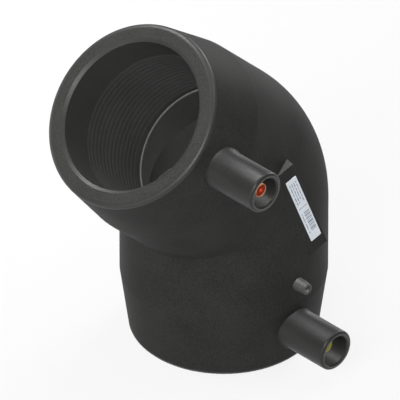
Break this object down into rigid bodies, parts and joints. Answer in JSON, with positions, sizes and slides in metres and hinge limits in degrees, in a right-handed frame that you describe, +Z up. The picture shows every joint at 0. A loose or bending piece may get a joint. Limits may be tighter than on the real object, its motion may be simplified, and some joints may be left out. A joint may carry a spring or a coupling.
{
  "type": "electrofusion elbow",
  "caption": "Electrofusion elbow for plastic pipe: a 45 degree bend with a heating winding in each socket, shrouded contact terminals, fusion indicators and a label on a raised pad.",
  "frame": {"origin": "centre of the lower socket's mouth, in the plane of the face that the part stands on", "axes": "+Z up the lower socket's axis into the part, +X along the terminals, and the upper socket leans 45 degrees from +Z towards -Y"},
  "size_m": [0.0862, 0.0985, 0.1248],
  "materials": {
    "body_plastic": "matte, fine grain",
    "coil_plastic": "satin",
    "contact_metal": "turned",
    "red_plastic": "satin",
    "yellow_plastic": "satin",
    "indicator_plastic": "matte",
    "label_film": "printed film"
  },
  "bodies": {
    "root": {"elbow_body": "body_plastic", "heating_coil": "coil_plastic", "upper_terminal_pin": "contact_metal", "lower_terminal_pin": "contact_metal", "red_terminal_plug": "red_plastic", "yellow_terminal_plug": "yellow_plastic", "upper_indicator_pin": "indicator_plastic", "lower_indicator_pin": "indicator_plastic", "traceability_label": "label_film"}
  },
  "joints": []
}
